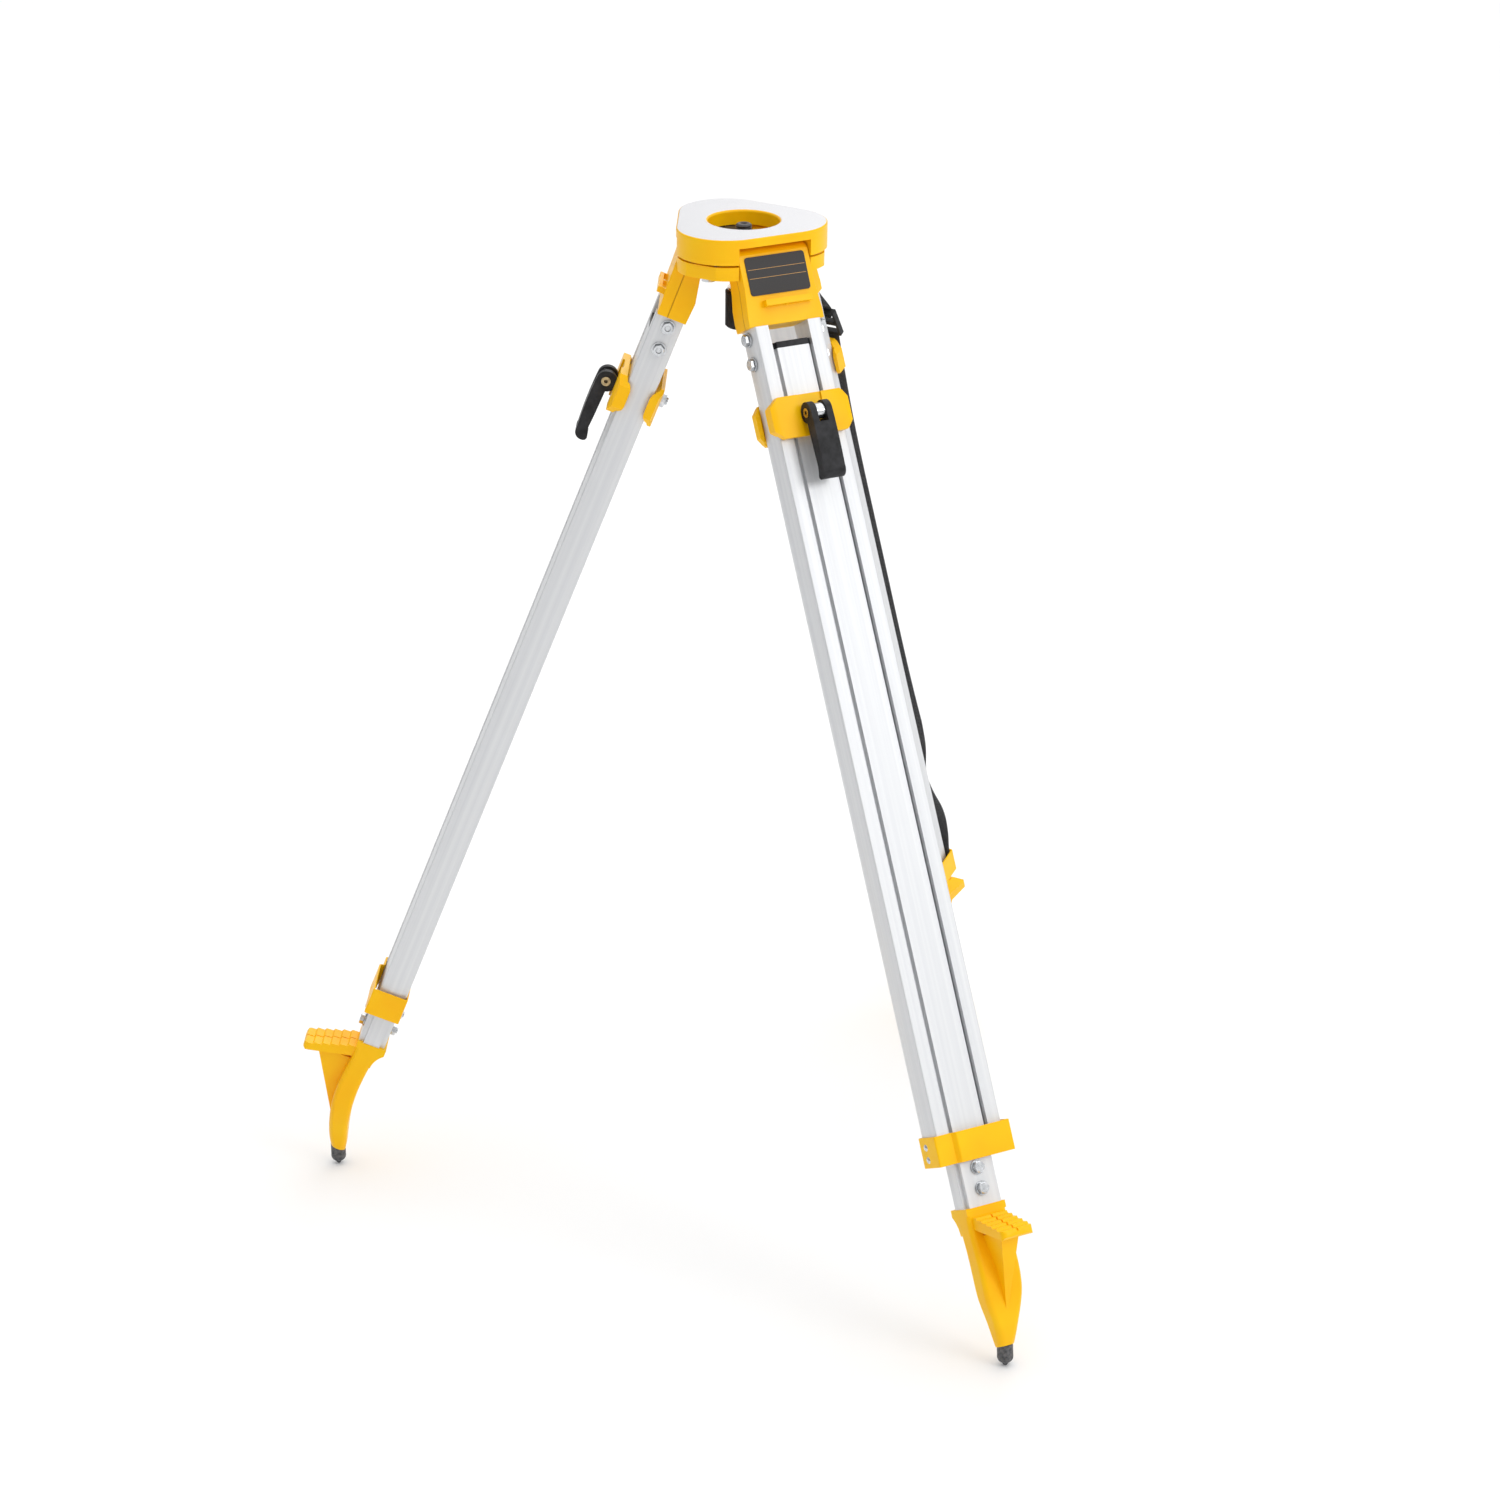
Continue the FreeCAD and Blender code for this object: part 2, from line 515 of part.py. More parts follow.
def swing_arm():
    """A flat arm from its pivot past the centre, with a stepped slot for the slide block."""
    tip = BLOCK_FLANGE_HALF + SLOT_TRAVEL + 5.0
    half = BLOCK_FLANGE_HALF + 4.6
    bottom = ARM_TOP + ARM_THICK
    outline = face(lambda x, y: V(x, y, -bottom),
                   (-half, -tip + 6.0), ((-half + 1.8, -tip + 1.8), (-half + 6.0, -tip)),
                   (half - 6.0, -tip), ((half - 1.8, -tip + 1.8), (half, -tip + 6.0)),
                   (half, 16.0), (7.0, ARM_PIVOT_Y), ((0.0, ARM_PIVOT_Y + 7.0), (-7.0, ARM_PIVOT_Y)),
                   (-half, 16.0))
    arm = outline.extrude(V(0, 0, ARM_THICK))
    step = ARM_TOP + 3.6
    wide = cavity(BLOCK_FLANGE_HALF + 0.1, -BLOCK_FLANGE_HALF - SLOT_TRAVEL - 0.1,
                  BLOCK_FLANGE_HALF + 0.1, ARM_TOP - 1.0, step)
    narrow = cavity(BLOCK_HALF + 0.1, -BLOCK_HALF - SLOT_TRAVEL - 0.1, BLOCK_HALF + 0.1,
                    step - 1.0, bottom + 1.0)
    bore = disc(M8_R + RUNNING, ARM_TOP - 1.0, bottom + 1.0, 0.0, ARM_PIVOT_Y)
    return arm.cut([wide, narrow, bore])


def slide_block():
    bottom = ARM_TOP + ARM_THICK
    flange = cavity(BLOCK_FLANGE_HALF, -BLOCK_FLANGE_HALF, BLOCK_FLANGE_HALF,
                    ARM_TOP + 0.1, ARM_TOP + 3.5)
    shank = cavity(BLOCK_HALF, -BLOCK_HALF, BLOCK_HALF, ARM_TOP + 3.5, bottom + 0.3)
    collar = disc(13.0, bottom + 0.3, bottom + 3.3)
    return flange.fuse([shank, collar]).cut(disc(SCREW_SHANK_R + RUNNING, 0.0, 40.0))


def centre_screw():
    """A threaded head on a slim shank. The thread is drawn as its outside diameter."""
    thread = disc(SCREW_R, SCREW_TOP, ARM_TOP)
    rim = [e for e in thread.Edges if abs(e.BoundBox.ZMin + SCREW_TOP) < 1e-6 and e.Length > 20.0]
    thread = thread.makeChamfer(1.4, rim)
    socket = disc(2.6, SCREW_TOP - 1.0, SCREW_TOP + 6.0)
    shank = disc(SCREW_SHANK_R, ARM_TOP, KNOB_TOP + KNOB_HEIGHT - 10.0)
    return thread.fuse(shank).cut(socket)


def knob_washer():
    ring = disc(15.0, KNOB_TOP - 2.6, KNOB_TOP - 0.1)
    return ring.cut(disc(SCREW_SHANK_R + RUNNING, KNOB_TOP - 5.0, KNOB_TOP + 1.0))


def screw_knob():
    """A fluted hand knob that is pressed on the shank."""
    bottom = KNOB_TOP + KNOB_HEIGHT
    knob = disc(KNOB_R, KNOB_TOP, bottom)
    rims = [e for e in knob.Edges if e.Length > 60.0]
    knob = knob.makeChamfer(1.8, rims)
    flutes = []
    for k in range(12):
        angle = math.radians(30.0 * k)
        reach = KNOB_R + 1.6
        flutes.append(disc(2.8, KNOB_TOP + 4.0, bottom + 1.0,
                           reach * math.cos(angle), reach * math.sin(angle)))
    return knob.cut(flutes + [disc(SCREW_SHANK_R, KNOB_TOP - 1.0, bottom - 10.0)])


# ---- label and carrying strap, in the leg frame ---------------------------------------------

def label_plate():
    half, corner = LABEL_HALF, LABEL_CORNER
    low, high = LABEL_H
    sheet = across(-half, half, (bracket_face(low), low), (bracket_face(low) + LABEL_THICK, low),
                   (bracket_face(high) + LABEL_THICK, high), (bracket_face(high), high))
    bend = corner * (1 - math.sqrt(0.5))
    shape = outward(10.0, 20.0,
                    (-half + corner, low), (half - corner, low),
                    ((half - bend, low + bend), (half, low + corner)), (half, high - corner),
                    ((half - bend, high - bend), (half - corner, high)), (-half + corner, high),
                    ((-half + bend, high - bend), (-half, high - corner)), (-half, low + corner),
                    ((-half + bend, low + bend), (-half + corner, low)))
    return sheet.common(shape)


def strap_buckle():
    """A ladder buckle: a frame with two slots and a middle bar, leaning out at its lower end."""
    t, n, h = BUCKLE_AT
    half_t, half_n, half_h = (size / 2 for size in BUCKLE_SIZE)
    frame = slab((-half_t, half_t), (-half_n, half_n), (-half_h, half_h))
    slots = [slab((-half_t + 2.8, half_t - 2.8), (-9.0, 9.0), span)
             for span in ((-half_h + 4.0, -2.5), (2.5, half_h - 4.0))]
    frame = frame.cut(slots)
    frame.rotate(V(0, 0, 0), V(1, 0, 0), -BUCKLE_LEAN)
    frame.translate(V(t, -n, h))
    return frame


def strap_tab():
    """A short webbing loop from the bracket's bar to the buckle."""
    bar_h = BRACKET_H + 20.0
    span = (-18.6, 1.8)
    loop = slab(span, (14.9, 23.1), (bar_h - 5.4, bar_h + 5.4))
    loop = loop.cut(slab(span, (16.5, 21.5), (bar_h - 3.8, bar_h + 3.8)))
    top_h, low_h = bar_h - 5.4, BUCKLE_AT[2] + BUCKLE_SIZE[2] / 2
    low_t = BUCKLE_AT[0]
    wires = []
    for middle, n, h in ((-8.4, 21.5, top_h), (low_t, 22.8, low_h)):
        corners = [V(middle - 10.2, -n, h), V(middle + 10.2, -n, h),
                   V(middle + 10.2, -n - STRAP_THICK, h), V(middle - 10.2, -n - STRAP_THICK, h)]
        wires.append(Part.makePolygon(corners + corners[:1]))
    return loop.fuse(Part.makeLoft(wires, True, True))


def route_edge(points, offset):
    """The route's straight runs and tangent arcs, moved sideways by an offset."""
    edges, arcs = [], []
    for before, here, after in zip(points, points[1:], points[2:]):
        into, out = (here - before), (after - here)
        turn = into.getAngle(out)
        reach = 0.45 * min(into.Length, out.Length)
        radius = reach / math.tan(turn / 2)
        into.normalize()
        out.normalize()
        side = math.copysign(1.0, into.cross(out).x)
        start, end = here - into * reach, here + out * reach
        centre = start + V(1, 0, 0).cross(into) * radius * side
        inward = (here - centre).normalize()
        grown = radius - side * offset
        arcs.append([centre + (p - centre).normalize() * grown for p in (start, end)]
                    + [centre + inward * grown, radius])
    first = (points[1] - points[0]).normalize()
    last = (points[-1] - points[-2]).normalize()
    here = points[0] + V(1, 0, 0).cross(first) * offset
    for start, end, middle, _ in arcs:
        edges += [Part.LineSegment(here, start).toShape(), Part.Arc(start, middle, end).toShape()]
        here = end
    finish = points[-1] + V(1, 0, 0).cross(last) * offset
    edges.append(Part.LineSegment(here, finish).toShape())
    return edges, [arc[3] for arc in arcs]


def carry_strap():
    """Flat webbing from the buckle to the slot of the guide band."""
    half = STRAP_WIDTH / 2
    points = [V(STRAP_T - half, -n, h) for n, h in STRAP_ROUTE]
    near, radii = route_edge(points, -STRAP_THICK / 2)
    far, _ = route_edge(points, STRAP_THICK / 2)
    print("strap radii, mm:", [round(r) for r in radii])
    ends = [Part.LineSegment(a.Vertexes[k].Point, b.Vertexes[k].Point).toShape()
            for a, b, k in ((near[0], far[0], 0), (near[-1], far[-1], -1))]
    ribbon = Part.Face(Part.Wire(Part.__sortEdges__(near + far + ends)))
    return ribbon.extrude(V(STRAP_WIDTH, 0, 0))


# ---- placing the pieces ---------------------------------------------------------------------

def placement(x, y, z, axis=Z_AXIS, degrees=0.0):
    return FreeCAD.Placement(V(x, y, z), FreeCAD.Rotation(axis, degrees))


def leg_in_head(leg):
    """From the leg frame to the head frame."""
    azimuth, splay = LEGS[leg]
    around = placement(0, 0, 0, Z_AXIS, azimuth)
    at_hinge = placement(0, -HINGE_RADIUS, -HINGE_DEPTH, V(1, 0, 0), -splay)
    return around * at_hinge * placement(0, 0, -HINGE_H)


def head_in_row():
    """Stand the tripod on its three tips, with the head's centre above the origin."""
    front, left, right = (leg_in_head(leg) * V(0, -SPIKE_NOSE[0], SPIKE_NOSE[1]) for leg in LEGS)
    normal = (right - front).cross(left - front).normalize()
    level = FreeCAD.Placement(V(0, 0, 0), FreeCAD.Rotation(normal, Z_AXIS))
    drop = SPIKE_NOSE_R - (level * front).z
    return placement(0, 0, drop) * level


HEAD = head_in_row()


def leg_in_row(leg):
    return HEAD * leg_in_head(leg)


def save(node, shapes, where):
    """Write one node, from one solid or a group of separate solids."""
    placed = []
    for shape in shapes if isinstance(shapes, list) else [shapes]:
        for solid in shape.Solids:
            moved = solid.copy()
            moved.Placement = where * moved.Placement
            placed.append(moved)
    shape = placed[0] if len(placed) == 1 else Part.makeCompound(placed)
    shape.exportStep(f"parts/{node}.step")
    print(f"{node}: {len(placed)} solid(s), {shape.Volume:.0f} mm3, valid {shape.isValid()}")


HEAD_PIECES = (head_casting, hinge_pins, head_bolts, swing_arm, slide_block, centre_screw,
               knob_washer, screw_knob)
LEG_PIECES = (hinge_bracket, bracket_bolts, inner_leg, guide_cap, clamp_front, clamp_rear,
              clamp_bolt, clamp_nut, clamp_lever, lever_pin, foot, foot_bolts, spike)
HANDED_LEG_PIECES = (outer_tubes, guide_band, band_rivets)
SINGLE_PIECES = ((label_plate, "front"), (strap_tab, STRAP_LEG), (strap_buckle, STRAP_LEG),
                 (carry_strap, STRAP_LEG))


def main():
    """Each node takes its name from the function that makes it."""
    os.makedirs("parts", exist_ok=True)
    for make in HEAD_PIECES:
        save(make.__name__, make(), HEAD)
    for leg in LEGS:
        where = leg_in_row(leg)
        for make in LEG_PIECES:
            save(f"{make.__name__}_{leg}", make(), where)
        for make in HANDED_LEG_PIECES:
            shapes = make()
            if leg == STRAP_LEG:
                shapes = [mirrored(shape) for shape in shapes]
            save(f"{make.__name__}_{leg}", shapes, where)
    for make, leg in SINGLE_PIECES:
        save(make.__name__, make(), leg_in_row(leg))


main()
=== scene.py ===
import json
import math

import bpy
from mathutils import Matrix, Vector


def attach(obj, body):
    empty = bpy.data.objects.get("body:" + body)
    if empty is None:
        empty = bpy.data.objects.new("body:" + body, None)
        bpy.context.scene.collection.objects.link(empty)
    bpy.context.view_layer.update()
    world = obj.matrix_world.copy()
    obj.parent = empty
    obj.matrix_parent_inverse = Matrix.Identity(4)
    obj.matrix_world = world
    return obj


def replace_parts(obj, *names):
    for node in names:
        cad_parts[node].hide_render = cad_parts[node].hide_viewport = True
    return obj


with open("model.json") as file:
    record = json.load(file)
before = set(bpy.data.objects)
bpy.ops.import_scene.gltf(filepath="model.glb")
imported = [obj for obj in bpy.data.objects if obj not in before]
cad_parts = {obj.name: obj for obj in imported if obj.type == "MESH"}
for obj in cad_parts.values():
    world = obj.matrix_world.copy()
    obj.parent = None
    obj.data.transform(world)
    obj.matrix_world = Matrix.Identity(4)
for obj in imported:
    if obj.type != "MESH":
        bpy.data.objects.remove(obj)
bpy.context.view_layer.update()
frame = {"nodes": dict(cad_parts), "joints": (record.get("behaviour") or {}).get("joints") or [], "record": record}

# A surveyor tripod on a plain floor. The CAD pieces get their materials and softened edges here;
# the screw's thread and the webbing are made here and take the place of plain CAD pieces.

JOINTS = {joint["name"]: joint for joint in frame["joints"]}
NODES = frame["nodes"]
LEGS = ("front", "left", "right")
STRAP_LEG = "right"
MM = 0.001

# Camera: place in metres, turn in degrees, focal length and sensor width in millimetres.
CAMERA_AT = (-1.8195, -3.4042, 1.8802)
CAMERA_TURN = (69.9164, 1.8356, -28.6264)
CAMERA_LENS = 98.81
CAMERA_SENSOR = 36.0

# Brightness of the sky dome at the horizon and overhead, and the share of it left on the -X side.
HORIZON_LIGHT = 0.38
OVERHEAD_LIGHT = 1.74
LEFT_SHARE = 0.50
# Place, diameter and power of the two lamps, and the point they face.
KEY_LAMP = ((1.6, -3.6, 2.6), 1.6, 25.0)
RIM_LAMP = ((2.2, 2.6, 2.4), 2.0, 10.0)
LAMP_TARGET = (0.0, 0.0, 0.6)
FLOOR_REACH = 40.0

# Linear colours.
YELLOW = (1.0, 0.57, 0.0)
YELLOW_DEEP = (1.0, 0.50, 0.0)
ALUMINIUM = (0.73, 0.74, 0.75)
ALUMINIUM_DULL = (0.66, 0.67, 0.69)
GROUND_TOP = (0.60, 0.60, 0.61)
GROUND_TOP_DULL = (0.53, 0.53, 0.55)
ZINC = (0.74, 0.75, 0.77)
ZINC_DULL = (0.50, 0.52, 0.54)
BLACK = (0.010, 0.010, 0.011)
BLACK_WORN = (0.030, 0.030, 0.033)
SPIKE_DARK = (0.055, 0.056, 0.060)
SPIKE_WORN = (0.16, 0.16, 0.165)
BRASS = (0.62, 0.48, 0.26)
BRASS_DULL = (0.34, 0.26, 0.15)
LABEL_GREY = (0.030, 0.028, 0.028)
LABEL_GREY_WORN = (0.040, 0.037, 0.037)
LABEL_LINE = (0.78, 0.42, 0.12)
SEAM_BROWN = (0.42, 0.17, 0.002)
# Painted shade for gaps and recesses that nearby surfaces close in.
PAINTED_CREVICE_SHADE = (0.02, 0.02, 0.02)
WEBBING_DARK = (0.010, 0.010, 0.012)
WEBBING_LIGHT = (0.050, 0.050, 0.055)
WEBBING_EDGE = (0.07, 0.07, 0.075)
FLOOR_PALE = (0.90, 0.90, 0.90)
FLOOR_PALER = (0.93, 0.93, 0.93)

# ---- frames of the legs and the head ---------------------------------------------------------

def frame_matrix(x, y, z, origin):
    matrix = Matrix((x, y, z)).transposed().to_4x4()
    matrix.translation = Vector(origin)
    return matrix


def leg_matrix(leg):
    """X across the leg, Y inward and Z up the leg, from the hinge."""
    hinge = JOINTS[f"leg_hinge_{leg}"]
    across = -Vector(hinge["axis"])
    up = -Vector(JOINTS[f"leg_slide_{leg}"]["axis"])
    return frame_matrix(across, up.cross(across), up, hinge["pos_m"])


def head_matrix():
    """X across the head, Y against the slide's travel and Z up the screw.

    The origin is where the screw's axis meets the plane of the top face.
    """
    up = Vector(JOINTS["screw_lift"]["axis"])
    forward = Vector(JOINTS["block_slide"]["axis"])
    seat = next(m for m in frame["record"]["mounts"] if m["name"] == "instrument_seat")
    screw = next(m for m in frame["record"]["mounts"] if m["name"] == "instrument_screw")
    below_top = (Vector(seat["pos_m"]) - Vector(screw["pos_m"])).dot(up)
    centre = Vector(screw["pos_m"]) + up * below_top
    across = up.cross(forward)
    return frame_matrix(across, up.cross(across), up, centre)


LEG = {leg: leg_matrix(leg) for leg in LEGS}
HEAD = head_matrix()


def local_box(node, matrix):
    """A node's lowest and highest corner in a leg's or the head's own axes."""
    inverse = matrix.inverted()
    points = [inverse @ v.co for v in NODES[node].data.vertices]
    low = Vector(min(p[k] for p in points) for k in range(3))
    high = Vector(max(p[k] for p in points) for k in range(3))
    return low, high


# ---- material building blocks ----------------------------------------------------------------

# The Mix node's two inputs and its output, by type of data.
MIX_SOCKETS = {"FLOAT": (2, 3, 0), "RGBA": (6, 7, 2)}


def new_material(name, **sockets):
    """A material with these fixed values on its shader."""
    mat = bpy.data.materials.new(name)
    mat.use_nodes = True
    shader = mat.node_tree.nodes["Principled BSDF"]
    for socket, value in sockets.items():
        shader.inputs[socket.replace("_", " ")].default_value = value
    return mat, mat.node_tree, shader


def add(tree, kind, inputs=None, **settings):
    """A node with its settings made and its inputs linked or filled in."""
    node = tree.nodes.new(kind)
    for key, value in settings.items():
        setattr(node, key, value)
    for socket, value in (inputs or {}).items():
        if isinstance(value, bpy.types.NodeSocket):
            tree.links.new(value, node.inputs[socket])
        else:
            node.inputs[socket].default_value = value
    return node


def local_mm(tree, matrix):
    """Position on the piece in the leg's or the head's own axes, in millimetres."""
    inverse = matrix.inverted()
    coords = add(tree, "ShaderNodeTexCoord")
    return add(tree, "ShaderNodeMapping",
               {"Vector": coords.outputs["Object"], "Location": inverse.translation / MM,
                "Rotation": inverse.to_euler(), "Scale": (1 / MM, 1 / MM, 1 / MM)}
               ).outputs["Vector"]


def noise(tree, vector, scale, detail=3.0, rough=0.55):
    """Noise from 0 to 1. Scale is its frequency along each axis, per unit of the vector."""
    stretched = add(tree, "ShaderNodeVectorMath", {0: vector, 1: scale}, operation="MULTIPLY")
    return add(tree, "ShaderNodeTexNoise",
               {"Vector": stretched.outputs["Vector"], "Scale": 1.0, "Detail": detail,
                "Roughness": rough}).outputs["Fac"]


def spread(tree, value, low, high, to_low, to_high):
    """Map a value from one range to another, clamped."""
    return add(tree, "ShaderNodeMapRange",
               {"Value": value, "From Min": low, "From Max": high, "To Min": to_low,
                "To Max": to_high}).outputs["Result"]


def maths(tree, operation, a, b=0.0):
    return add(tree, "ShaderNodeMath", {0: a, 1: b}, operation=operation).outputs["Value"]


def mix(tree, data_type, factor, a, b):
    first, second, result = MIX_SOCKETS[data_type]
    return add(tree, "ShaderNodeMix", {0: factor, first: a, second: b},
               data_type=data_type).outputs[result]


def blend_colour(tree, factor, a, b):
    """Mix two colours, each a socket or three numbers."""
    a, b = (c if isinstance(c, bpy.types.NodeSocket) else (*c, 1.0) for c in (a, b))
    return mix(tree, "RGBA", factor, a, b)


def bump(tree, height, distance, strength, normal=None):
    """Relief with a depth in millimetres, over another normal if one is given."""
    inputs = {"Height": height, "Distance": distance * MM, "Strength": strength}
    if normal is not None:
        inputs["Normal"] = normal
    return add(tree, "ShaderNodeBump", inputs).outputs["Normal"]


def stripe(tree, value, middle, half, soft=0.15):
    """One inside a band about the middle, fading out over a soft edge."""
    away = maths(tree, "ABSOLUTE", maths(tree, "SUBTRACT", value, middle))
    return spread(tree, away, half, half + soft, 1.0, 0.0)


def paint_crevice_shade(tree, reach, colour):
    """Painted shade: darken a colour where other surfaces within reach, in millimetres, close it in, as if
    shadowed there.
    """
    open_share = add(tree, "ShaderNodeAmbientOcclusion", {"Distance": reach * MM},
                     samples=8).outputs["AO"]
    factor = spread(tree, open_share, 0.15, 0.85, 0.9, 0.0)
    return blend_colour(tree, factor, colour, PAINTED_CREVICE_SHADE)


def axes(tree, vector):
    return add(tree, "ShaderNodeSeparateXYZ", {"Vector": vector}).outputs


def surface(tree, shader, colour, roughness, normal):
    for socket, value in (("Base Color", colour), ("Roughness", roughness), ("Normal", normal)):
        tree.links.new(value, shader.inputs[socket])


# ---- materials -------------------------------------------------------------------------------

# Mould seam of a hinge bracket, in millimetres: where the side faces start across the leg,
# the seam's place in depth, its half width and its soft edge.
SIDE_FACES = (36.6, 37.2)
SEAM_Y = -3.0
SEAM_HALF = 0.35
SEAM_SOFT = 0.3
# Rules on the label: heights as shares of its half height from the middle, then in millimetres
# their half width and soft edge, their distance from the label's sides and how they end there.
RULES_AT = (0.34, -0.12)
RULE_HALF = 0.10
RULE_SOFT = 0.12
RULE_MARGIN = 1.7
RULE_FADE = 0.2


def paint_layers(tree, vector):
    """Colour, roughness and relief of sprayed enamel over a sand-cast surface."""
    clouds = noise(tree, vector, (0.018, 0.018, 0.018), 2.0)
    peel = noise(tree, vector, (0.55, 0.55, 0.55), 2.0)
    specks = noise(tree, vector, (1.6, 1.6, 1.6), 4.0, 0.7)
    dust = spread(tree, specks, 0.70, 0.78, 0.0, 0.35)
    base = blend_colour(tree, spread(tree, clouds, 0.35, 0.7, 0.0, 1.0), YELLOW, YELLOW_DEEP)
    colour = blend_colour(tree, dust, base, YELLOW_DEEP)
    roughness = spread(tree, clouds, 0.3, 0.7, 0.30, 0.42)
    return colour, roughness, peel


def cast_paint(name, matrix, seam):
    """Yellow enamel. With a seam, a line runs down the sides where the mould's halves met."""
    mat, tree, shader = new_material(name, IOR=1.4, Specular_IOR_Level=0.3)
    vector = local_mm(tree, matrix)
    colour, roughness, peel = paint_layers(tree, vector)
    normal = bump(tree, peel, 0.10, 0.35)
    if seam:
        part = axes(tree, vector)
        side = spread(tree, maths(tree, "ABSOLUTE", part["X"]), *SIDE_FACES, 0.0, 1.0)
        line = maths(tree, "MULTIPLY", side, stripe(tree, part["Y"], SEAM_Y, SEAM_HALF, SEAM_SOFT))
        normal = bump(tree, maths(tree, "SUBTRACT", 1.0, line), 0.6, 0.9, normal)
        colour = blend_colour(tree, spread(tree, line, 0.0, 1.0, 0.0, 0.6), colour, SEAM_BROWN)
    surface(tree, shader, colour, roughness, normal)
    return mat


def head_paint():
    """Enamel sides under a turned and ground top face."""
    mat, tree, shader = new_material("head_paint_and_machined_top", IOR=1.4,
                                     Specular_IOR_Level=0.3)
    vector = local_mm(tree, HEAD)
    colour, roughness, peel = paint_layers(tree, vector)
    part = axes(tree, vector)
    normal_z = axes(tree, add(tree, "ShaderNodeNewGeometry").outputs["True Normal"])["Z"]
    flat = spread(tree, normal_z, 0.93, 0.97, 0.0, 1.0)
    top = maths(tree, "MULTIPLY", flat, spread(tree, part["Z"], -0.5, -0.2, 0.0, 1.0))
    radius = maths(tree, "SQRT", maths(tree, "ADD", maths(tree, "MULTIPLY", part["X"], part["X"]),
                                       maths(tree, "MULTIPLY", part["Y"], part["Y"])))
    rings = maths(tree, "SINE", maths(tree, "MULTIPLY", radius, 11.0))
    grind = noise(tree, vector, (0.9, 0.9, 0.9), 5.0, 0.7)
    silver = blend_colour(tree, spread(tree, grind, 0.35, 0.7, 0.0, 1.0), GROUND_TOP,
                          GROUND_TOP_DULL)
    rough_top = spread(tree, grind, 0.3, 0.7, 0.34, 0.5)
    ring_relief = maths(tree, "MULTIPLY", maths(tree, "MULTIPLY", rings, top), 0.5)
    normal = bump(tree, ring_relief, 0.02, 0.5, bump(tree, peel, 0.10, 0.3))
    surface(tree, shader, blend_colour(tree, top, colour, silver),
            mix(tree, "FLOAT", top, roughness, rough_top), normal)
    tree.links.new(top, shader.inputs["Metallic"])
    return mat


def extruded_aluminium(name, matrix):
    """Satin anodised extrusion with fine die lines along the leg and a few handling marks."""
    mat, tree, shader = new_material(name, Metallic=0.45, Specular_IOR_Level=0.4)
    vector = local_mm(tree, matrix)
    die_lines = noise(tree, vector, (2.6, 2.6, 0.004), 4.0, 0.7)
    bands = noise(tree, vector, (0.22, 0.22, 0.0015), 2.0)
    marks = noise(tree, vector, (0.05, 0.05, 0.35), 5.0, 0.75)
    worn = spread(tree, marks, 0.64, 0.78, 0.0, 0.5)
    base = blend_colour(tree, spread(tree, bands, 0.3, 0.7, 0.0, 1.0), ALUMINIUM, ALUMINIUM_DULL)
    colour = blend_colour(tree, worn, base, ALUMINIUM_DULL)
    roughness = spread(tree, die_lines, 0.25, 0.75, 0.36, 0.52)
    surface(tree, shader, colour, roughness, bump(tree, die_lines, 0.008, 0.25))
    return mat


def blotched(name, tones, roughs, scale, relief, shade_reach=0.0, **sockets):
    """A plain surface with blotchy colour and roughness, fine relief and sparse scuffs.

    The sixth argument is the reach in millimetres up to which gaps are darkened with painted shade, or 0 for none.
    """
    mat, tree, shader = new_material(name, **sockets)
    vector = local_mm(tree, HEAD)
    patches = noise(tree, vector, (scale, scale, scale), 3.0)
    fine = noise(tree, vector, (scale * 12, scale * 12, scale * 12), 4.0, 0.65)
    scuffs = spread(tree, noise(tree, vector, (0.9, 0.25, 0.12), 6.0, 0.8), 0.66, 0.74, 0.0, 0.6)
    base = blend_colour(tree, spread(tree, patches, 0.3, 0.7, 0.0, 1.0), tones[0], tones[1])
    colour = blend_colour(tree, scuffs, base, tones[1])
    # Painted shade in gaps and recesses within the given reach.
    if shade_reach:
        colour = paint_crevice_shade(tree, shade_reach, colour)
    surface(tree, shader, colour, spread(tree, fine, 0.3, 0.7, *roughs),
            bump(tree, fine, relief, 0.5))
    return mat


def webbing():
    """Black woven webbing: ribs across, a twill of fine yarns and bound edges.

    UV x runs across the band from 0 to 1, and UV y along it, in band widths.
    """
    mat, tree, shader = new_material("woven_webbing", Sheen_Weight=0.35, Sheen_Roughness=0.5,
                                     Specular_IOR_Level=0.25)
    uv = axes(tree, add(tree, "ShaderNodeTexCoord").outputs["UV"])

    def wave(along, per_width):
        return maths(tree, "SINE", maths(tree, "MULTIPLY", along, 2 * math.pi * per_width))

    ribs = wave(uv["Y"], 14)
    yarns = wave(uv["X"], 18)
    twill = wave(maths(tree, "ADD", uv["X"], uv["Y"]), 9)
    weave = maths(tree, "ADD", maths(tree, "MULTIPLY", ribs, yarns), twill)
    fuzz = noise(tree, local_mm(tree, LEG[STRAP_LEG]), (2.5, 2.5, 2.5), 4.0, 0.7)
    edge = spread(tree, maths(tree, "ABSOLUTE", maths(tree, "SUBTRACT", uv["X"], 0.5)),
                  0.42, 0.45, 0.0, 1.0)
    shade = spread(tree, maths(tree, "ADD", weave, fuzz), -1.5, 2.5, 0.0, 1.0)
    colour = blend_colour(tree, shade, WEBBING_DARK, WEBBING_LIGHT)
    colour = blend_colour(tree, maths(tree, "MULTIPLY", edge, 0.4), colour, WEBBING_EDGE)
    surface(tree, shader, colour, spread(tree, fuzz, 0.3, 0.7, 0.75, 0.92),
            bump(tree, weave, 0.22, 0.8, bump(tree, fuzz, 0.1, 0.4)))
    return mat


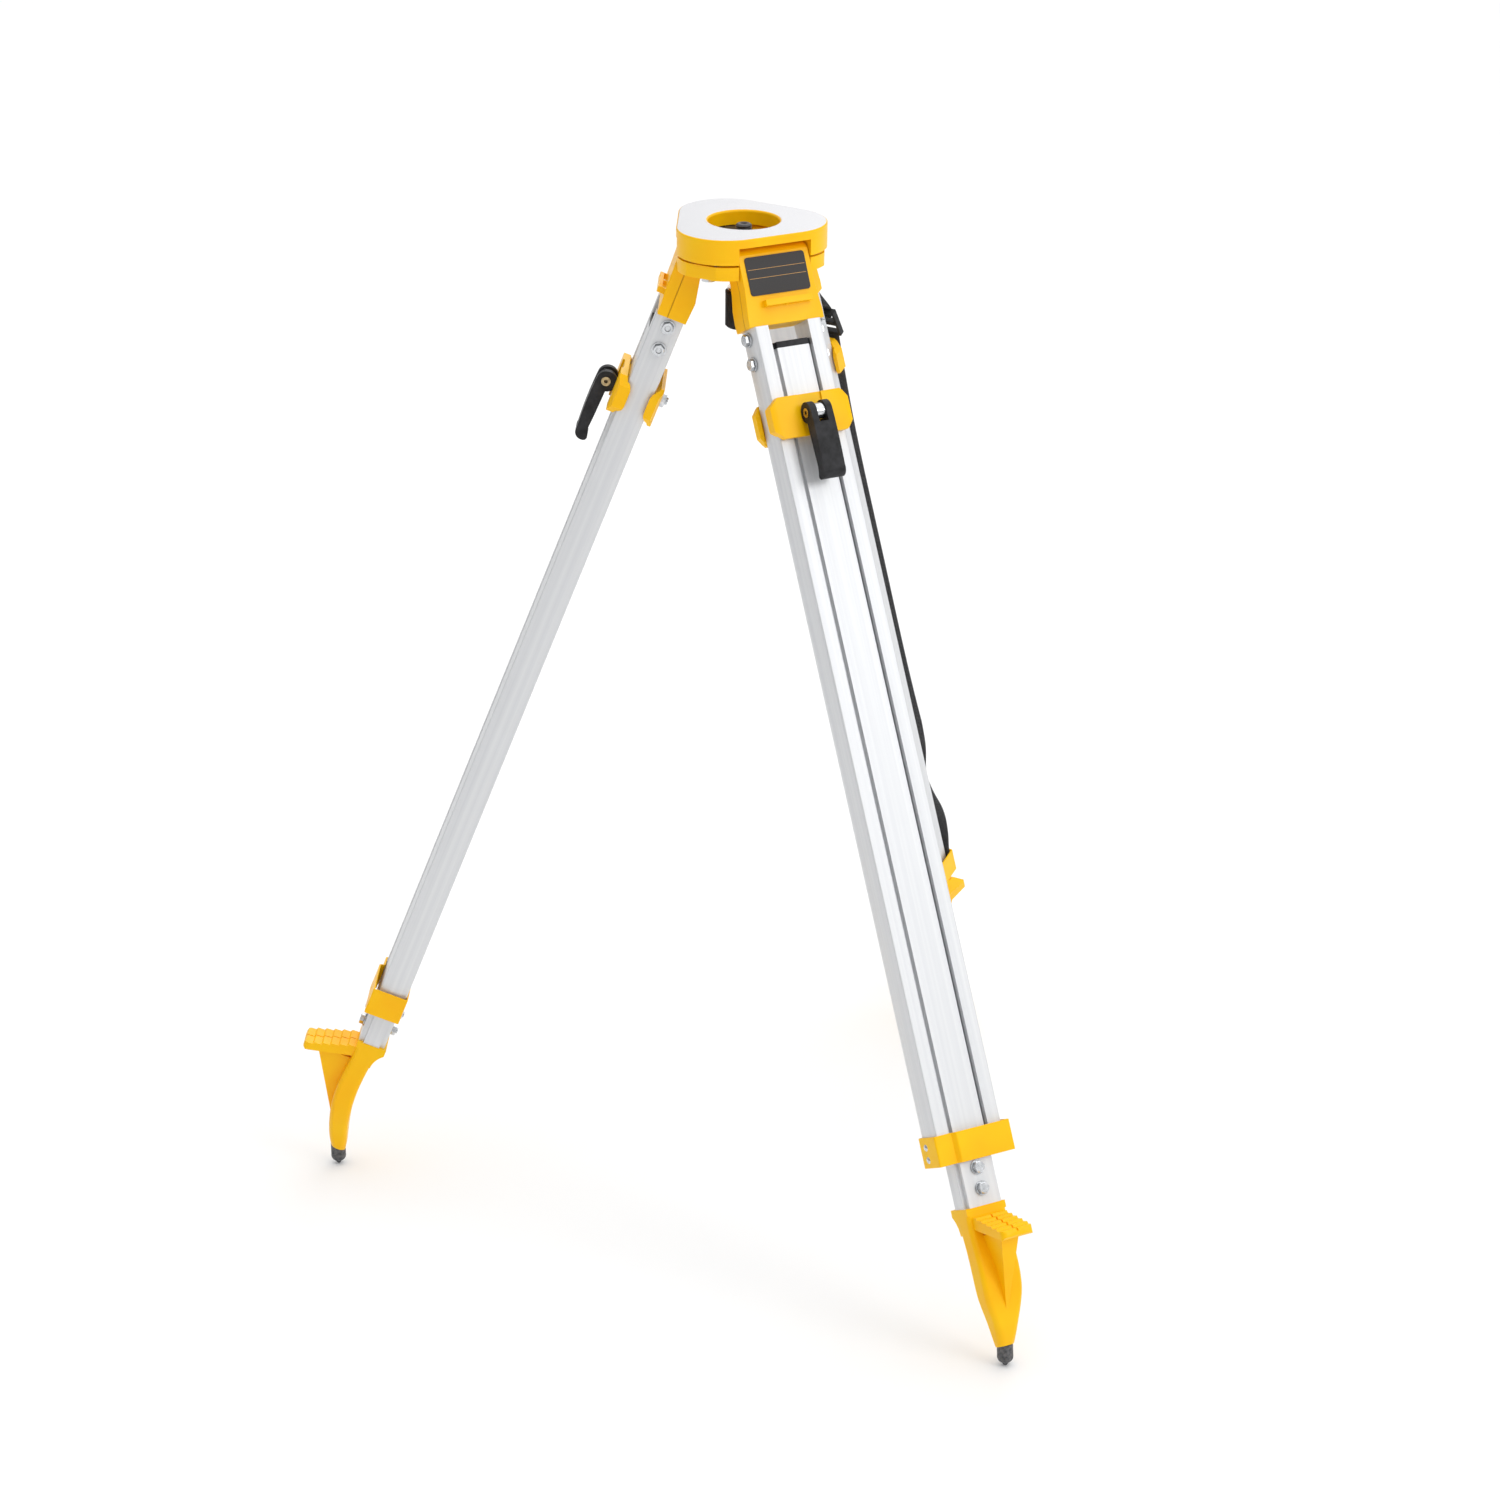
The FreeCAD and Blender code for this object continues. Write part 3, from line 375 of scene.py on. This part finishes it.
def label_film():
    """Dark label with two plain rules across it, and nothing written on it."""
    mat, tree, shader = new_material("label_film", Specular_IOR_Level=0.35)
    vector = local_mm(tree, LEG["front"])
    low, high = (corner / MM for corner in local_box("label_plate", LEG["front"]))
    part = axes(tree, vector)
    across_mid, up_mid = (low.x + high.x) / 2, (low.z + high.z) / 2
    half_wide, half_tall = (high.x - low.x) / 2, (high.z - low.z) / 2
    rules = [stripe(tree, part["Z"], up_mid + offset * half_tall, RULE_HALF, RULE_SOFT)
             for offset in RULES_AT]
    inside = spread(tree, maths(tree, "ABSOLUTE", maths(tree, "SUBTRACT", part["X"], across_mid)),
                    half_wide - RULE_MARGIN, half_wide - RULE_MARGIN + RULE_FADE, 1.0, 0.0)
    lines = maths(tree, "MULTIPLY", maths(tree, "MAXIMUM", *rules), inside)
    grain = noise(tree, vector, (1.2, 1.2, 1.2), 4.0, 0.6)
    base = blend_colour(tree, spread(tree, grain, 0.3, 0.7, 0.0, 1.0), LABEL_GREY,
                        LABEL_GREY_WORN)
    surface(tree, shader, blend_colour(tree, lines, base, LABEL_LINE),
            spread(tree, grain, 0.3, 0.7, 0.42, 0.55), bump(tree, grain, 0.03, 0.3))
    return mat


# ---- finishing the CAD pieces ----------------------------------------------------------------

WELD_GAP = 2e-6
SHARP_ANGLE = 38
BEVEL_SEGMENTS = 3


def dress(node, mat, edge_mm=0.0):
    """Give a CAD piece its material and, for a cast or moulded one, softened edges."""
    piece = NODES[node]
    piece.data.materials.clear()
    piece.data.materials.append(mat)
    if edge_mm:
        piece.modifiers.new("weld", "WELD").merge_threshold = WELD_GAP
        bevel = piece.modifiers.new("soft_edges", "BEVEL")
        bevel.width = edge_mm * MM
        bevel.segments = BEVEL_SEGMENTS
        bevel.limit_method = "ANGLE"
        bevel.angle_limit = math.radians(SHARP_ANGLE)
        bevel.use_clamp_overlap = True
        normals = piece.modifiers.new("flat_faces_stay_flat", "WEIGHTED_NORMAL")
        normals.keep_sharp = False


def dress_all():
    """Dress every CAD piece that stays. Returns the oxide, which the threaded screw wears too."""
    paint = {leg: cast_paint(f"cast_paint_{leg}", LEG[leg], False) for leg in LEGS}
    seamed = {leg: cast_paint(f"cast_paint_seamed_{leg}", LEG[leg], True) for leg in LEGS}
    tube = {leg: extruded_aluminium(f"extruded_aluminium_{leg}", LEG[leg]) for leg in LEGS}
    # Zinc and brass get painted shade in gaps within 3 mm.
    zinc = blotched("zinc_plate", (ZINC, ZINC_DULL), (0.16, 0.30), 0.25, 0.02, 3.0,
                    Metallic=1.0)
    oxide = blotched("black_oxide", (BLACK, BLACK_WORN), (0.38, 0.55), 0.2, 0.03, IOR=1.6)
    spike = blotched("hardened_steel", (SPIKE_DARK, SPIKE_WORN), (0.38, 0.6), 0.3, 0.08,
                     Metallic=0.6)
    brass = blotched("tinned_brass", (BRASS, BRASS_DULL), (0.3, 0.45), 0.3, 0.03, 3.0,
                     Metallic=1.0)
    plastic = blotched("black_plastic", (BLACK, BLACK_WORN), (0.42, 0.6), 0.12, 0.06, IOR=1.4,
                       Specular_IOR_Level=0.35)
    dress("head_casting", head_paint(), 0.9)
    for node in ("hinge_pins", "head_bolts", "knob_washer"):
        dress(node, zinc)
    for node in ("swing_arm", "slide_block"):
        dress(node, oxide, 0.5)
    dress("screw_knob", plastic, 0.6)
    dress("strap_buckle", plastic, 0.8)
    dress("label_plate", label_film())
    for leg in LEGS:
        dress(f"hinge_bracket_{leg}", seamed[leg], 1.2)
        for kind, edge in (("guide_band", 0.4), ("clamp_front", 1.2), ("clamp_rear", 1.2),
                           ("foot", 1.2)):
            dress(f"{kind}_{leg}", paint[leg], edge)
        dress(f"outer_tubes_{leg}", tube[leg])
        dress(f"inner_leg_{leg}", tube[leg])
        for kind in ("bracket_bolts", "band_rivets", "clamp_bolt", "clamp_nut", "foot_bolts"):
            dress(f"{kind}_{leg}", zinc)
        dress(f"lever_pin_{leg}", brass)
        dress(f"guide_cap_{leg}", plastic, 0.5)
        dress(f"clamp_lever_{leg}", plastic, 1.4)
        dress(f"spike_{leg}", spike)
    return oxide


# ---- pieces made here ------------------------------------------------------------------------

def link(name, mesh, mat, body):
    """Put a mesh in the scene, smooth shaded, on a body."""
    piece = bpy.data.objects.new(name, mesh)
    bpy.context.scene.collection.objects.link(piece)
    mesh.materials.append(mat)
    for polygon in mesh.polygons:
        polygon.use_smooth = True
    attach(piece, body)
    return piece


# Eleven threads to the inch. Each groove is 2 / THREAD_FLARE of a pitch wide.
THREAD_PITCH = 25.4 / 11 * MM
THREAD_DEPTH = 0.55 * THREAD_PITCH
THREAD_FLARE = 2.6
ROWS_PER_PITCH = 12
SCREW_FACETS = 72


def threaded_screw(mat):
    """The centre screw with its thread cut, a rounded top and a round socket."""
    low, high = local_box("centre_screw", HEAD)
    washer_top = local_box("knob_washer", HEAD)[1].z
    block_top = local_box("slide_block", HEAD)[1].z
    outside = (high.x - low.x) / 2
    shank = 0.63 * outside
    around = SCREW_FACETS
    # Rings as height and radius, from the socket's floor over the rim and down. The threaded
    # ones have no radius of their own.
    socket = [(high.z - 4.0 * MM, 0.30 * outside), (high.z - 4.0 * MM, 0.34 * outside)]
    rim = [(high.z, 0.40 * outside), (high.z, 0.74 * outside), (high.z - 0.4 * MM, 0.84 * outside),
           (high.z - 1.0 * MM, 0.90 * outside)]
    step = THREAD_PITCH / ROWS_PER_PITCH
    thread_top = high.z - 1.4 * MM
    threaded = [(thread_top - step * k, None) for k in range(int((thread_top - block_top) / step))]
    tail = [(block_top + 0.2 * MM, shank), (washer_top, shank), (low.z + 1.0 * MM, shank)]
    levels = socket + rim + threaded + tail
    vertices = []
    for z, radius in levels:
        for k in range(around):
            angle = 2 * math.pi * k / around
            reach = radius
            if radius is None:
                turn = (z / THREAD_PITCH - k / around) % 1.0
                reach = outside - THREAD_DEPTH * max(0.0, 1.0 - abs(turn - 0.5) * THREAD_FLARE)
            vertices.append(HEAD @ Vector((reach * math.cos(angle), reach * math.sin(angle), z)))
    faces = [list(range(around - 1, -1, -1))]
    for row in range(len(levels) - 1):
        for k in range(around):
            a, b = row * around + k, row * around + (k + 1) % around
            faces.append([a, a + around, b + around, b])
    last = (len(levels) - 1) * around
    faces.append([last + k for k in range(around)])
    mesh = bpy.data.meshes.new("threaded_screw")
    mesh.from_pydata(vertices, [], [f[::-1] for f in faces])
    mesh.validate()
    piece = link("centre_screw_threaded", mesh, mat, "centre_screw")
    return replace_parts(piece, "centre_screw")


def smooth_path(points):
    """Points along the NURBS spline that has these control points."""
    curve = bpy.data.curves.new("path", "CURVE")
    curve.dimensions = "3D"
    curve.resolution_u = 10
    spline = curve.splines.new("NURBS")
    spline.points.add(len(points) - 1)
    for target, point in zip(spline.points, points):
        target.co = (*point, 1.0)
    spline.order_u = 3
    spline.use_endpoint_u = True
    holder = bpy.data.objects.new("path", curve)
    mesh = bpy.data.meshes.new_from_object(holder)
    path = [v.co.copy() for v in mesh.vertices]
    bpy.data.objects.remove(holder)
    bpy.data.curves.remove(curve)
    bpy.data.meshes.remove(mesh)
    return path


def ribbon_mesh(name, path, across, width, thick, twists):
    """Flat webbing along a path, with thicker bound edges.

    Across is the direction of its width, and twists gives its turn in degrees at each share
    of its length.
    """
    # Section of the band, in widths across and thicknesses out.
    profile = [(-0.5, 0.0), (-0.49, 0.42), (-0.45, 0.55), (-0.40, 0.42), (0.40, 0.42),
               (0.45, 0.55), (0.49, 0.42), (0.5, 0.0), (0.49, -0.42), (0.45, -0.55),
               (0.40, -0.42), (-0.40, -0.42), (-0.45, -0.55), (-0.49, -0.42)]
    # Distance along the path to each of its points.
    run = [0.0]
    for a, b in zip(path, path[1:]):
        run.append(run[-1] + (b - a).length)
    vertices, ring = [], len(profile)
    for k, point in enumerate(path):
        ahead = path[min(k + 1, len(path) - 1)] - path[max(k - 1, 0)]
        turn = Matrix.Rotation(math.radians(twists(run[k] / run[-1])), 3, ahead.normalized())
        side = turn @ (across - ahead * across.dot(ahead) / ahead.length_squared).normalized()
        out = ahead.normalized().cross(side)
        vertices += [point + side * x * width + out * y * thick for x, y in profile]
    faces = [list(range(ring)), list(range(len(vertices) - 1, len(vertices) - ring - 1, -1))]
    for row in range(len(path) - 1):
        for k in range(ring):
            a, b = row * ring + k, row * ring + (k + 1) % ring
            faces.append([a, a + ring, b + ring, b])
    mesh = bpy.data.meshes.new(name)
    mesh.from_pydata(vertices, [], faces)
    layer = mesh.uv_layers.new(name="weave")
    for loop in mesh.loops:
        row, k = divmod(loop.vertex_index, ring)
        layer.data[loop.index].uv = (profile[k][0] + 0.5, run[row] / width)
    return mesh


# Middle of the strap on its way down the leg: across, outward and above the spike's tip, in
# millimetres. It passes the clamp, hangs slack in two shallow waves and enters the band's slot.
STRAP_ROUTE = [(-26.5, 28.5, 934.6), (-25.0, 26.6, 890), (-22.5, 25.8, 800), (-22.0, 26.6, 650),
               (-22.0, 25.8, 510), (-22.5, 26.6, 440), (-24.0, 26.3, 404), (-24.0, 26.2, 374),
               (-22.0, 17.8, 345), (-24.0, 18.2, 315), (-26.5, 26, 277), (-27.0, 23.5, 245),
               (-27.5, 17.3, 227), (-27.5, 17, 209)]
HINGE_HEIGHT = 1069.2
STRAP_WIDTH = 0.020
STRAP_THICK = 0.0016
# The slack starts at this share of the strap's length and twists this many degrees each way.
SLACK_START = 0.72
SLACK_TWIST = 14.0
TAB_WIDTH = 0.0195
TAB_THICK = 0.0014
# The bar in the tab's loop, in millimetres: from the tab's right edge, below its top, and
# outward of its middle (a minus points inward).
BAR_FROM_EDGE = 10.2
BAR_BELOW_TOP = 5.4
BAR_OUTWARD = -1.6


def strap_point(t, n, h):
    """A place on the strap's leg, from distances across, outward and above the spike's tip."""
    return LEG[STRAP_LEG] @ (Vector((t, -n, h - HINGE_HEIGHT)) * MM)


def carry_strap(mat):
    """The strap from its buckle to the guide band's slot."""
    path = smooth_path([strap_point(*point) for point in STRAP_ROUTE])
    across = LEG[STRAP_LEG].to_3x3() @ Vector((1, 0, 0))

    def slack_twist(share):
        slack_share = max(0.0, (share - SLACK_START) / (1.0 - SLACK_START))
        return SLACK_TWIST * math.sin(math.pi * slack_share * 2)

    mesh = ribbon_mesh("carry_strap_webbing", path, across, STRAP_WIDTH, STRAP_THICK, slack_twist)
    piece = link("carry_strap_webbing", mesh, mat, f"upper_leg_{STRAP_LEG}")
    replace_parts(piece, "carry_strap")
    return piece


def strap_tab(mat):
    """A sewn loop round the bracket's bar, slanting down to the buckle's top bar."""
    leg = LEG[STRAP_LEG]
    low, high = (corner / MM for corner in local_box("strap_tab", leg))
    buckle = [corner / MM for corner in local_box("strap_buckle", leg)]
    middle_t, bar_h = high.x - BAR_FROM_EDGE, high.z - BAR_BELOW_TOP
    bar_n = -(low.y + high.y) / 2 + BAR_OUTWARD
    buckle_t, buckle_h = (buckle[0].x + buckle[1].x) / 2, buckle[1].z


    def place(slant, outward, h):
        spot = Vector((middle_t + (buckle_t - middle_t) * slant, -(bar_n + outward), h))
        return leg @ (spot * MM)

    # Share of the slant towards the buckle, outward of the bar, and height above the bar for
    # the loop, or above the buckle's top for the end.
    loop = [(0.30, 1.4, -22.0), (0.10, 1.0, -9.0), (0.02, -1.0, -4.6), (0.0, -3.4, -3.2),
            (0.0, -3.4, 3.4), (0.0, -0.5, 4.6), (0.0, 3.0, 3.6), (0.03, 3.4, -3.0),
            (0.14, 3.2, -12.0), (0.55, 3.6, -34.0)]
    end = [(0.95, 7.0, 3.0), (1.0, 8.0, -2.0), (1.0, 5.0, -7.0), (1.0, 2.5, -8.0)]
    path = smooth_path([place(slant, outward, bar_h + rise) for slant, outward, rise in loop]
                       + [place(slant, outward, buckle_h + rise) for slant, outward, rise in end])
    across = leg.to_3x3() @ Vector((1, 0, 0))
    mesh = ribbon_mesh("strap_tab_webbing", path, across, TAB_WIDTH, TAB_THICK, lambda share: 0.0)
    piece = link("strap_tab_webbing", mesh, mat, f"upper_leg_{STRAP_LEG}")
    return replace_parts(piece, "strap_tab")


# ---- stage, light and camera -----------------------------------------------------------------

def area_light(name, place, size, power):
    data = bpy.data.lights.new(name, "AREA")
    data.shape = "DISK"
    data.size = size
    data.energy = power
    light = bpy.data.objects.new(name, data)
    light.location = place
    aim = Vector(LAMP_TARGET) - Vector(place)
    light.rotation_euler = aim.to_track_quat("-Z", "Y").to_euler()
    bpy.context.scene.collection.objects.link(light)


def stage_and_light():
    mesh = bpy.data.meshes.new("floor")
    corners = [(x * FLOOR_REACH, y * FLOOR_REACH, 0)
               for x, y in ((-1, -1), (1, -1), (1, 1), (-1, 1))]
    mesh.from_pydata(corners, [], [(0, 1, 2, 3)])
    floor = bpy.data.objects.new("floor", mesh)
    bpy.context.scene.collection.objects.link(floor)
    mat, tree, shader = new_material("floor_paper", Roughness=0.9, Specular_IOR_Level=0.1)
    tone = noise(tree, add(tree, "ShaderNodeTexCoord").outputs["Object"], (3.0, 3.0, 3.0), 3.0)
    tree.links.new(blend_colour(tree, tone, FLOOR_PALE, FLOOR_PALER),
                   shader.inputs["Base Color"])
    mesh.materials.append(mat)
    world = bpy.data.worlds.new("studio")
    bpy.context.scene.world = world
    world.use_nodes = True
    sky = world.node_tree
    way = axes(sky, add(sky, "ShaderNodeTexCoord").outputs["Generated"])
    overhead = spread(sky, way["Z"], 0.05, 0.9, HORIZON_LIGHT, OVERHEAD_LIGHT)
    left_dim = spread(sky, way["X"], -0.9, 0.4, LEFT_SHARE, 1.0)
    background = sky.nodes["Background"]
    background.inputs["Color"].default_value = (1.0, 1.0, 1.0, 1.0)
    sky.links.new(maths(sky, "MULTIPLY", overhead, left_dim), background.inputs["Strength"])
    area_light("key", *KEY_LAMP)
    area_light("rim", *RIM_LAMP)


def camera():
    data = bpy.data.cameras.new("camera")
    data.lens = CAMERA_LENS
    data.sensor_width = CAMERA_SENSOR
    data.dof.use_dof = False
    eye = bpy.data.objects.new("camera", data)
    eye.location = CAMERA_AT
    eye.rotation_euler = [math.radians(angle) for angle in CAMERA_TURN]
    bpy.context.scene.collection.objects.link(eye)
    bpy.context.scene.camera = eye


def main():
    camera()
    woven = webbing()
    carry_strap(woven)
    strap_tab(woven)
    threaded_screw(dress_all())
    stage_and_light()
    bpy.context.scene.view_settings.view_transform = "Standard"


main()
